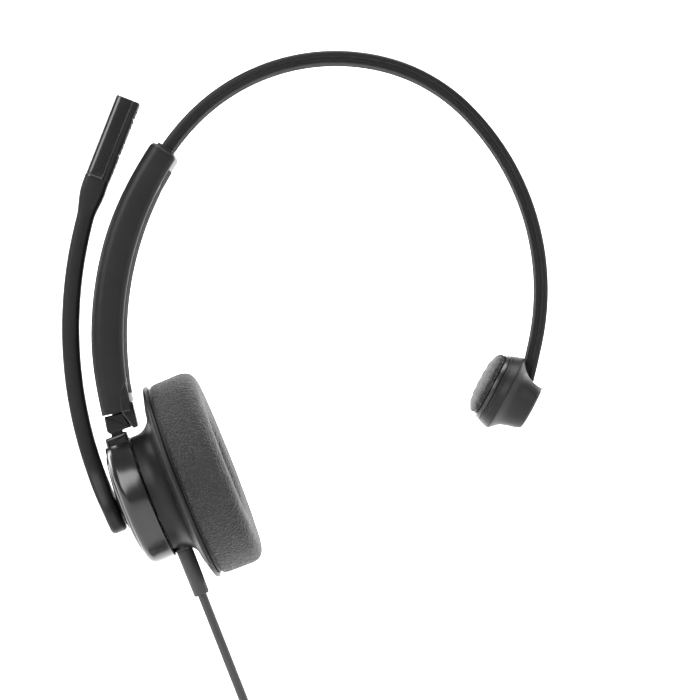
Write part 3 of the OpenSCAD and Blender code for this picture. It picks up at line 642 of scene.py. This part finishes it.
def body_section(ang):
    outer = 112.9 - 0.9 * smooth((166 - ang) / 20) - 0.5 * smooth((ang - 180) / 12)
    pts = [(102.5, -10, 1.9), (outer, -10, 3.4), (outer, 10, 3.4), (102.5, 10, 1.9)]
    out = []
    for i, (x, y, q) in enumerate(pts):
        ox = x + q if i in (0, 3) else x - q
        oy = y + q if y < 0 else y - q
        for k in range(9):
            t = math.radians([180, 270, 0, 90][i] + 90 * k / 8)
            out.append((ox + q * math.cos(t), oy + q * math.sin(t)))
    return out


arm_body = arm_rings(MOUTH_A + 0.2, ARM_END_A, 1.6, 0.3, body_section)
fin_outline = closed_soften([(1.9, 2.0), (5.6, 2.0), (5.85, -5.0), (5.1, -5.9), (4.3, -5.9), (3.7, -4.6),
                             (3.1, -3.1),
                             (1.9, -0.5)], 0.35)
arm_fin = box(post, (4.8, -7.5, -5.7), (5.75, 7.5, 2.6), 0.4)
cheeks = [slab(fin_outline, lo, lo + 0.9, lambda a, b, c: post(a, c, b), 0.3, 3) for lo in (-7.65, 6.75)]
piece("arm_body", [arm_body], MATTE, "arm", ["arm_shell"])
piece("arm_skirt", [arm_fin] + cheeks, GLOSS, "arm")
heel = closed_soften([(1.9, -0.25), (5.2, -0.25), (5.45, 6.5), (5.3, 9.5), (4.3, 8.6), (2.6, 5.5)], 0.6)
piece("arm_heel", [slab(heel, lo, lo + 1.0, lambda a, b, c: post(a, c, b), 0.3, 3) for lo in (-10.06,
    9.06)], GLOSS,
      "arm")
# Lip round the band where it leaves the arm
lip_rows = []
for ang, grow in [(MOUTH_A + 0.9, 1.1), (MOUTH_A + 0.02, 1.1), (MOUTH_A - 0.16, 0.98),
                  (MOUTH_A - 0.22, 0.75),
                  (MOUTH_A - 0.2, 0.5), (MOUTH_A + 0.3, 0.3)]:
    sec = rounded(107 - 2.05 - grow, 107 + 2.05 + grow, 15 + 2 * grow, 1.2)
    lip_rows.append([slide_place(ang)(x, y) for x, y in sec])
piece("arm_lip", [grid(lip_rows)], SATIN, "arm")
cover_sec = arm_outline(102.32, 104.6, 7.9, 0.5, 0.5)
cover = piece("arm_inner_strip", [arm_rings(COVER_A + 0.1, COVER_B - 0.1, 0.6, 0.6, lambda a: cover_sec)],
              LINER, "arm",
              ["arm_inner_cover"])
wells = []
for deg, y in [(153, -7.4), (153, 7.4), (188.2, -7.4), (188.2, 7.4)]:
    def on_screw(x, yy, z, deg=deg, y=y):
        a = math.radians(deg)
        r = 102.3 + z
        return V(SLIDE[0] + r * math.cos(a) - x * math.sin(a), y + yy,
                 SLIDE[1] + r * math.sin(a) + x * math.cos(a))
    wells.append(lathe([(0, -1), (1.5, -1), (1.5, 1.2), (0, 1.2)], on_screw, 24))
boolean_cut(cover, wells)

# ------------------------------------------------------------------ boom
BOOM_C, BOOM_R = (51.5, -20.2), 135.4
TOP_R, TOP_A, MID_A = 161.4, 162, 168.4
TOP_C = polar(BOOM_C, TOP_R - BOOM_R, MID_A + 180)
TOP = polar(TOP_C, TOP_R, TOP_A)
TIP_C = polar(TOP, 60, TOP_A + 180)
TIP = polar(TIP_C, 60, TOP_A - 3.5)
MIC_HEAD = TOP_A - 90 - 3.5
AXIS_FOOT = cup(0, 0, -24.8)


def mic(x, y, z):
    a = math.radians(MIC_HEAD)
    return V(TIP[0] + z * math.cos(a) + x * math.sin(a), y, TIP[1] + z * math.sin(a) - x * math.cos(a))


def boom_path():
    """Stations up the boom: centre, direction towards the head, distance from the pivot."""
    out = []
    down = (math.sin(CUP_LEAN), -math.cos(CUP_LEAN))
    toward = (math.cos(CUP_LEAN), math.sin(CUP_LEAN))
    for s in [-7.8, -7.72, -7.5, -7.1, -6.5, -5.6, -4.4, -3.0, -1.5]:
        out.append(((AXIS_FOOT.x - s * down[0], AXIS_FOOT.z - s * down[1]), toward, s))
    n = 90
    s = 0.0
    last = None
    for k in range(n + 1):
        a = 205.4 + (MID_A - 205.4) * k / n
        p = polar(BOOM_C, BOOM_R, a)
        s = 0.0 if last is None else s + math.dist(p, last)
        last = p
        t = (-math.cos(math.radians(a)), -math.sin(math.radians(a)))
        w = smooth(s / 14)
        t = (toward[0] * (1 - w) + t[0] * w, toward[1] * (1 - w) + t[1] * w)
        out.append((p, t, s))
    for k in range(1, 19):
        a = MID_A + (TOP_A - MID_A) * k / 18
        p = polar(TOP_C, TOP_R, a)
        s += math.dist(p, last)
        last = p
        out.append((p, (-math.cos(math.radians(a)), -math.sin(math.radians(a))), s))
    for k in range(1, 7):
        a = TOP_A - 3.5 * k / 6
        p = polar(TIP_C, 60, a)
        s += math.dist(p, last)
        last = p
        out.append((p, (-math.cos(math.radians(a)), -math.sin(math.radians(a))), s))
    return out


stations = boom_path()
total = stations[-1][2]


def boom_section(s):
    """Half width towards the head and half depth front to back at a distance up the boom."""
    head = smooth((s - (total - 3.7 - 10)) / 9.5)
    half_w = 2.8 + 1.2 * head
    half_d = 3.2 + 0.4 * head
    disc = math.sqrt(max(0.0, 7.8 ** 2 - s * s)) if abs(s) < 7.8 else 0
    if s < 0:
        half_d = max(disc, 0.3)
    elif s < 20:
        flare = 3.2 + 4.6 * (1 - smooth((s - 0.0) / 15))
        half_d = max(disc, flare) if s < 6 else flare
    near_end = min(max((s + 7.8) / 1.3, 0), 1)
    if s < 0:
        half_w = 2.5 * (0.55 + 0.45 * math.sqrt(max(0, 1 - (1 - near_end) ** 2)))
    elif s < 12:
        half_w = 2.5 + 0.3 * smooth(s / 12)
    return half_w, half_d


rows = []
for (px, pz), (tx, tz), s in stations:
    hw, hd = boom_section(s)
    co = min(1.5, hd * 0.8, hw * 0.8)
    ci = min(2.2, hd * 0.8, hw * 1.2)
    sec = []
    for cx, cy, q, a0, n in [(-hw, -hd, co, 180, 5), (hw, -hd, ci, 270, 5), (hw, hd, ci, 0, 5),
                             (-hw, hd, co, 90, 5)]:
        ox = cx + q if cx < 0 else cx - q
        oy = cy + q if cy < 0 else cy - q
        for k in range(n + 1):
            t = math.radians(a0 + 90 * k / n)
            sec.append((ox + q * math.cos(t), oy + q * math.sin(t)))
    rows.append([V(px + tx * x, y, pz + tz * x) for x, y in sec])
piece("boom_body", [grid(rows)], MATTE, "boom", ["boom_arm"], sharp=50)

# Capsule, and its comb of slots on the head's side with two notches across
L = 27.0


def cap_section(x0, x1, half, big, small):
    out = []
    for cx, cy, q, a0 in [(x0, -half, big, 180), (x1, -half, small, 270), (x1, half, small, 0),
                          (x0, half, big, 90)]:
        ox = cx + q if cx == x0 else cx - q
        oy = cy + q if cy < 0 else cy - q
        for k in range(7):
            t = math.radians(a0 + 90 * k / 6)
            out.append((ox + q * math.cos(t), oy + q * math.sin(t)))
    return out


cap_rows = [(-0.5, 0.2), (-0.05, 0.2), (0.05, 0.12), (0.2, 0.03), (0.4, 0)]
cap_rows += [(z, 0) for z in (2, 6, 10, 14, 18, 22)]
for k in range(7):
    t = math.pi / 2 * (1 - k / 6)
    cap_rows.append((L - 0.5 + 0.5 * math.cos(t), 0.5 * (1 - math.sin(t))))
sec = cap_section(-4, 2.35, 4, 1.9, 1.0)
rings = []
for z, d in cap_rows:
    rings.append([mic(x, y, z) for x, y in inset(sec, d)])
piece("mic_capsule", [grid(rings)], GLOSS, "boom", ["mic_housing"])
comb_sec = cap_section(1.9, 4, 3.55, 0.5, 1.3)
comb = make("mic_comb", *grid([[mic(x, y, z) for x, y in inset(comb_sec, d)] for z, d in cap_rows]), DARK)
slots = []
z = 3.0
while z < L - 3:
    slots.append(box(mic, (3.2, -1.7, z), (4.6, 1.7, z + 0.8), 0.25))
    z += 1.7
for zz in (8.6, 21.2):
    slots.append(box(mic, (3.72, -4, zz), (4.6, 4, zz + 0.7), 0.1))
boolean_cut(comb, slots)
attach(comb, "boom")

# ------------------------------------------------------------------ ear cup
shell_out = [(19.3, -10.5), (19.3, -9.0)] + arc_profile((25, -9), 5.7, 176, 102, 14) \
    + [(26.6, -2.95), (29, -2.3), (31.0, -1.75)] \
    + [(31.9, -1.45), (32.4, -1.2), (32.6, -0.85), (32.62, -0.4), (32.5, -0.08), (32.25, 0.02), (31.8, 0.04)]
shell_in = [(31.4, 0.0), (31.2, -0.3), (31.1, -1.3), (24.6, -1.35)] + arc_profile((25, -9), 7.3, 100, 178,
    8) + [(17.5, -10.5)]
piece("cup_flare", [lathe(shell_out + shell_in, cup, 160, closed=True)], MATTE, "ear_cup",
      ["cup_shell"])
relief_lip = []
for k in range(1, 2):
    def ring_place(x, y, z):
        return cup(19.0 + z, y, -7.9 + x)
    relief_lip.append(lathe([(2.7, -0.6), (2.7, 1.1), (2.95, 1.35), (3.35, 1.3), (3.6, 1.0), (3.65, -0.6)],
                            ring_place, 48, closed=True))
piece("relief_collar", relief_lip, SATIN, "ear_cup")

# Hub: turned body with a flat on top, and the saddle of the hinge
FLAT = -18.9


def hub_place(x, y, z):
    return cup(max(x, FLAT), y, z)


hub_prof = [(17.4, -10.75), (20.6, -10.75), (21.0, -10.85), (21.25, -11.1), (21.3, -11.6)] \
    + [(21.3, z) for z in (-13, -15)] + arc_profile((18.7, -16.9), 2.6, 0, -68, 9)[0:] \
    + [(19.2, -19.36), (18.2, -19.5), (17.5, -19.5), (17.3, -19.35), (17.3, -18.7), (19.2, -17.4),
       (19.4, -12.2),
       (17.4, -11.6)]
hub = make("hub_ring", *lathe(hub_prof, hub_place, 192, closed=True), GLOSS)
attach(hub, "ear_cup")
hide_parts("hub_housing")
saddle = make("hub_saddle", *slab(closed_soften([(-21.6, -18.1), (-18.2, -18.4), (-17.8, -10.9),
                                                 (-21.6, -10.9)], 0.7),
                                  -8.6, 8.6, lambda a, b, c: cup(a, c, b), 0.9), GLOSS)
boolean_cut(saddle, [box(cup, (-25, -5.25, -17.0), (-15, 5.25, -11.5), 0.2)])
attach(saddle, "ear_cup")

cap_prof = [(3.75, -20.2), (3.75, -21.75), (3.9, -21.95)] + [(r, -22 + r * r / 160) for r in (5, 8, 11,
    13.5, 15.2)] \
    + [(16.1, -20.36), (16.75, -20.05), (17.15, -19.6), (17.2, -19.2), (17.0, -18.9), (14, -18.9), (8, -20)]
piece("hub_cap_dome", [lathe(cap_prof, cup, 160, closed=True)], GLOSS, "ear_cup",
      ["hub_cap"])

# Knuckle of the hinge
knuckle_outline = closed_soften([(-4.1, -0.3, 0.3), (-4.3, -5.2, 1.2), (-3.4, -6.15, 0.8), (1.9, -5.45, 1.0),
                                 (3.45, -5.4, 0.3), (3.55, -5.0, 0.25), (3.1, -4.2), (2.5, -2.8),
                                 (2.2, -0.3, 0.4)], 0.9, 5)
tang_q = cup(-18, 0, -14.6)
dx, dz = tang_q.x - SWIVEL[0], tang_q.z - SWIVEL[1]
ca, sa = math.cos(SWIVEL_LEAN), math.sin(SWIVEL_LEAN)
TX, TZ = dx * ca + dz * sa, dz * ca - dx * sa
tang_outline = [(TX - 1.9, -4.6), (TX - 1.9, TZ)] + [
    (TX + 1.9 * math.cos(math.radians(a)), TZ + 1.9 * math.sin(math.radians(a))) for a in range(200, 341,
        20)] \
    + [(TX + 1.9, TZ), (TX + 1.9, -4.6)]
piece("hinge_knuckle", [slab(knuckle_outline, -6.0, 6.0, lambda a, b, c: post(a, c, b), 0.3, 4),
                        slab(tang_outline, -4.9, 4.9, lambda a, b, c: post(a, c, b), 0.3, 3),
                        lathe([(0, -1), (2.0, -1), (2.0, 9), (0, 9.3)], post, 32)],
      GLOSS, "knuckle", ["knuckle"])

# Strain relief, smooth, tapering to the cord


def relief_place(x, y, z):
    return cup(z, y, -7.9 + x)


rel = [(0, 18.4), (2.35, 18.4), (2.45, 19.6), (2.68, 20.2), (2.7, 22), (2.66, 27), (2.6, 32), (2.56, 35.2),
       (2.45, 35.75),
       (2.2, 35.98), (1.75, 36.0), (1.6, 35.85), (1.5, 35.4), (1.45, 35.0), (0, 35.0)]
piece("relief_boot", [lathe(soften(rel, 0.12, 2), relief_place, 48)], RUBBER, "ear_cup",
      ["strain_relief"])

# ------------------------------------------------------------------ ear cushion
def ring_pad(profile, seg):
    return lathe(profile, cup, seg, closed=True)


ec = arc_profile((18.4, 11.4), 4.0, 180, 90, 5) + arc_profile((28.3, 11.2), 4.2, 90, 0, 6) \
    + arc_profile((31.2, 1.5), 1.1, 0, -90, 3) + arc_profile((16.0, 2.6), 1.2, 270, 180, 3)
cushion = make("ear_pad", *ring_pad(ec, 96), LEATHER)
swell(cushion, 1.4, 4.0, 0.6)


def local_cup(p):
    q = Vector(p) / MM
    d = Vector((q.x - CUP[0], q.y, q.z - CUP[1]))
    c, s = math.cos(CUP_LEAN), math.sin(CUP_LEAN)
    return d.x * s - d.z * c, d.y, d.x * c + d.z * s


def finish_ring(ob, hole, rim, back, front):
    """Keeps a ring pad inside its solid, then sews a seam round it and creases it."""
    sub = ob.modifiers.new("sub", "SUBSURF")
    sub.levels = sub.render_levels = 1
    apply_modifiers(ob)
    for v in ob.data.vertices:
        x, y, z = local_cup(v.co)
        r, a = math.hypot(x, y), math.atan2(y, x)
        outer = smooth((r - 25) / 6)
        wrinkle = noise.noise(Vector((a * 3.2, r * 0.16, z * 0.16))) * 0.22
        grain = noise.noise(v.co * 620.0) * 0.05
        seam = -0.3 * math.exp(-((z - back - 0.5) / 0.3) ** 2) * outer
        pleat = math.sin(a * 60 + 3 * noise.noise(Vector((a * 2, 0, 5)))) * 0.09 * (1 - outer)
        edge = max(0.0, 1 - abs(z - (back + 3)) / 3)
        r += seam + grain + wrinkle * 0.35 * outer - (wrinkle + pleat * edge) * 0.5 * (1 - outer)
        z += (0.25 * wrinkle + grain) * smooth((z - front + 3) / 2)
        r = min(max(r, hole), rim)
        z = min(max(z, back), front)
        v.co = cup(r * math.cos(a), r * math.sin(a), z) * MM
    for p in ob.data.polygons:
        p.use_smooth = True


finish_ring(cushion, 14.0, 32.6, 0.15, 15.5)
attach(cushion, "ear_cup")
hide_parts("ear_cushion")
# Flange of the cushion that tucks behind the shell's rim
piece("cushion_skirt", [lathe([(15.9, 0.1), (31.2, 0.06), (31.35, 0.2), (31.4, 0.7), (31.2, 1.2),
                               (30.8, 1.3), (16, 1.3)],
                              cup, 128, closed=True)], DARK, "ear_cup", ["cushion_ring"])

# ------------------------------------------------------------------ temple pad
def track(profile, straight=8.5, seg=28):
    """Runs (radius, level) round a track whose sides run front to back."""
    spots = []
    for k in range(seg + 1):
        a = math.pi * k / seg
        spots.append((math.cos(a), math.sin(a), straight))
    for k in range(seg + 1):
        a = math.pi + math.pi * k / seg
        spots.append((math.cos(a), math.sin(a), -straight))
    rows = []
    for r, z in profile:
        rows.append([(r * c, off + r * s, z) for c, s, off in spots])
    return rows


def tracked(profile, closed=True, wrap=1.0):
    rows = track(profile)
    rows = [[pad(x, y, z - 0.0042 * wrap * y * y) for x, y, z in row] for row in rows]
    if closed:
        rows = rows + [rows[0]]
        n = len(rows[0])
        verts = [p for row in rows[:-1] for p in row]
        m = len(rows) - 1
        faces = []
        for i in range(m):
            for k in range(n):
                a, b = i * n + k, i * n + (k + 1) % n
                c, d = ((i + 1) % m) * n + (k + 1) % n, ((i + 1) % m) * n + k
                faces.append((a, b, c, d))
        return verts, faces
    return grid(rows)


H = 12.5
shell_prof = [(H - 1.35, -4.7), (H - 1.05, -4.5), (H - 0.95, -4.0), (H - 0.86, -3.5), (H - 0.7, -3.4),
              (H - 0.6, -3.0),
              (H - 0.2, -1.7), (H, -1.15), (H - 0.02, -0.8), (H - 0.6, -0.2), (H - 1.8, 0.9),
              (H - 2.8, 2.2), (H - 3.5, 4.2),
              (H - 4.0, 6.0), (H - 4.4, 7.4), (H - 4.65, 7.8), (H - 6.2, 7.8), (H - 5.2, 4.6),
              (H - 4.3, 1.8), (H - 3, 0),
              (H - 2.2, -1.2), (H - 2.3, -4.7)]
pad_shell = make("pad_shell", *tracked(shell_prof, wrap=0), MATTE)


SCOOP_R, SCOOP_X, SCOOP_N, SCOOP_HALF = 8.8, 15.5, 7.5, 24


def scoop(x, y, z):
    return pad(x - SCOOP_X, z, y + SCOOP_N)


def scoop_cutter():
    """Round cut that opens the shell's upper corner round the band."""
    profile = [(0, -SCOOP_HALF), (SCOOP_R, -SCOOP_HALF), (SCOOP_R, SCOOP_HALF), (0, SCOOP_HALF)]
    return lathe(profile, scoop, 96)


boolean_cut(pad_shell, [box(pad, (-H - 2, -8.7, -2.2), (-4.5, 8.7, 7.1), 0.5)])
boolean_cut(pad_shell, [scoop_cutter()])
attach(pad_shell, "temple_pad")
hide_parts("temple_pad_shell")
cap_rows = [(0.05, 7.75), (H - 4.75, 7.75), (H - 4.65, 7.95), (H - 4.8, 8.3), (H - 5.3, 8.6), (H - 7, 8.78),
            (0.05, 8.8)]
end_cap = make("pad_end_cap", *tracked(soften(cap_rows, 0.3, 3), closed=False, wrap=0), SATIN)
boolean_cut(end_cap, [scoop_cutter()])
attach(end_cap, "temple_pad")
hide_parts("temple_pad_cap")
rim_rows = [(0.05, -4.75), (H - 1.4, -4.75), (H - 1.3, -4.9), (H - 1.4, -5.7), (H - 1.55, -6.0),
            (0.05, -6.0)]
piece("pad_plate", [tracked(rim_rows, closed=False, wrap=0)], SATIN, "temple_pad",
      ["temple_pad_plate"])

pc = [(0.05, -5.9), (H - 2.0, -5.9), (H - 1.55, -6.05), (H - 1.6, -6.5), (H - 2.1, -7.3), (H - 3.3, -8.2),
      (H - 5.2, -8.9),
      (H - 7.5, -9.3), (0.05, -9.5)]
rows = track(pc, seg=24)
soft = make("pad_cushion", *grid([[pad(*p) for p in row] for row in rows]), LEATHER)
swell(soft, 1.2, 4.0, 0.4)


def local_pad(p):
    q = Vector(p) / MM
    d = Vector((q.x - PAD[0], q.y, q.z - PAD[1]))
    c, s = math.cos(PAD_LEAN), math.sin(PAD_LEAN)
    return -d.x * s - d.z * c, d.y, d.x * c - d.z * s


sub = soft.modifiers.new("sub", "SUBSURF")
sub.levels = sub.render_levels = 1
apply_modifiers(soft)
for v in soft.data.vertices:
    x, y, z = local_pad(v.co)
    yy = max(abs(y) - 8.5, 0) * (1 if y > 0 else -1)
    r = math.hypot(x, yy)
    along = y * 0.9 if abs(y) < 8.5 else math.atan2(yy, x) * 9
    edge = smooth((r - 6) / 6)
    fold = noise.noise(Vector((x * 0.3, y * 0.3, z * 0.25))) * 0.3
    pleat = math.sin(along * 2.3 + x * 0.5) * 0.06 * edge
    k = 1 + (fold * 0.4 + pleat) / 12 * edge - 0.045 * math.exp(-((z + 6.9) / 0.4) ** 2) * edge
    dz = -(0.35 * fold + 0.1 * math.sin(x * 1.9 + fold * 3)) * smooth((-z - 7.5) / 1.5)
    x, y, z = x * k, y * k, z + dz
    z = min(max(z, -10.4), -5.95)
    v.co = pad(x, y, z) * MM
for p in soft.data.polygons:
    p.use_smooth = True
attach(soft, "temple_pad")
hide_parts("temple_pad_cushion")

# ------------------------------------------------------------------ plug and tie
plug_at = route[-1]


def plug(x, y, z):
    return V(plug_at.x + y, plug_at.y - x, FLOOR_Z + 3.8 + z)


body_rows = []
for x, w, t in [(0, 2.1, 2.1), (0.15, 2.45, 2.45), (1.2, 2.5, 2.5), (1.35, 2.3, 2.3), (2.0, 2.3, 2.3),
                (2.15, 2.6, 2.6),
                (3.2, 2.75, 2.75), (4.0, 3.4, 3.0), (5.0, 5.6, 3.55), (6.0, 6.8, 3.75), (7.2, 7.35, 3.8),
                (9, 7.5, 3.8),
                (9.3, 7.25, 3.62), (9.9, 7.25, 3.62), (10.2, 7.5, 3.8), (11.4, 7.5, 3.8), (11.7, 7.25, 3.62),
                (12.3, 7.25, 3.62), (12.6, 7.5, 3.8), (13.8, 7.5, 3.8), (14.1, 7.25, 3.62),
                (14.7, 7.25, 3.62),
                (15, 7.5, 3.8), (21.2, 7.5, 3.8), (21.75, 7.3, 3.6), (22, 6.9, 3.2)]:
    q = min(w, t) * 0.62
    if w < 2.6:
        q = w * 0.98
    sec = []
    for sx, sy, a0 in [(-1, -1, 180), (1, -1, 270), (1, 1, 0), (-1, 1, 90)]:
        for k in range(6):
            a = math.radians(a0 + 90 * k / 5)
            sec.append((sx * (w - q) + q * math.cos(a), sy * (t - q) + q * math.sin(a)))
    body_rows.append([plug(x, a, b) for a, b in sec])
plug_body = piece("usb_grip", [grid(body_rows)], DARK, "ear_cup", ["usb_plug_body"])

coil_x, coil_y = route[-8].x - 21.1, 21.1
tie_at = (coil_x, coil_y + 18.0, FLOOR_Z)
tie_rows = []
tie_w = 4.9
loop = ccw(rounded(-tie_w, tie_w, 2 * 6.5, 2.0, 5))
for y, d in [(-3.5, 0.15), (-3.3, 0.0), (3.3, 0.0), (3.5, 0.15), (3.5, 0.65), (3.3, 0.78), (-3.3, 0.78),
             (-3.5, 0.65)]:
    tie_rows.append([V(tie_at[0] + y, tie_at[1] + a, FLOOR_Z + 6.15 + max(b, -6.15)) for a,
                     b in inset(loop, d - 0.65)])
n = len(tie_rows[0])
tv = [p for row in tie_rows for p in row]
tf = [(i * n + k, i * n + (k + 1) % n, ((i + 1) % 8) * n + (k + 1) % n, ((i + 1) % 8) * n + k)
      for i in range(8) for k in range(n)]
tie = piece("coil_tie", [(tv, tf)], CLOTH, "ear_cup", ["cord_ties"])

# ------------------------------------------------------------------ stage and light
rows = []
for y, z in [(-2.5, 0)] + [(y, 0) for y in (-1, 0, 0.6)] + [
        (0.6 + 0.9 * math.sin(t), 0.9 - 0.9 * math.cos(t)) for t in [math.pi / 2 * k / 16 for k in range(1,
            17)]] + [(1.5, 3)]:
    rows.append([V(x * 1000, y * 1000, (z - 0.1862) * 1000) for x in (-3, -1.5, 0, 1.5, 3)])
sv, sf = grid(rows, closed=False, caps=False)
floor_mat, _, fb = material("pale_floor")
fb.inputs["Base Color"].default_value = (0.9, 0.9, 0.9, 1)
fb.inputs["Roughness"].default_value = 0.9
fb.inputs["Specular IOR Level"].default_value = 0.1
floor = make("sweep_floor", sv, sf, floor_mat)


def soft_light(name, at, target, size, power, size_y=None):
    ld = bpy.data.lights.new(name, "AREA")
    ld.shape = "RECTANGLE"
    ld.size = size
    ld.size_y = size_y or size
    ld.energy = power
    lo = bpy.data.objects.new(name, ld)
    scene.collection.objects.link(lo)
    lo.location = at
    lo.rotation_euler = (Vector(target) - Vector(at)).to_track_quat("-Z", "Y").to_euler()
    return lo


world = bpy.data.worlds.new("studio")
scene.world = world
world.use_nodes = True
world.node_tree.nodes["Background"].inputs["Color"].default_value = (1, 1, 1, 1)
world.node_tree.nodes["Background"].inputs["Strength"].default_value = 0.28
soft_light("key", (-0.7, -0.95, 0.55), (-0.02, 0, -0.03), 0.8, 16)
soft_light("fill", (0.95, -0.75, 0.15), (0, 0, -0.05), 0.5, 4)
soft_light("top", (0.05, -0.1, 1.1), (0, 0, 0), 0.7, 16)
soft_light("rim_left", (-0.9, 0.45, 0.2), (0, 0, -0.03), 0.4, 5)
soft_light("rim_right", (0.9, 0.45, 0.3), (0, 0, -0.03), 0.4, 5)
soft_light("sweep_left", (-0.9, 0.75, 0.9), (-0.2, 1.5, 0.0), 0.9, 26)
soft_light("sweep_right", (0.9, 0.75, 0.9), (0.2, 1.5, 0.0), 0.9, 26)
scene.view_settings.view_transform = "Standard"
scene.view_settings.look = "None"
scene.view_settings.exposure = 0
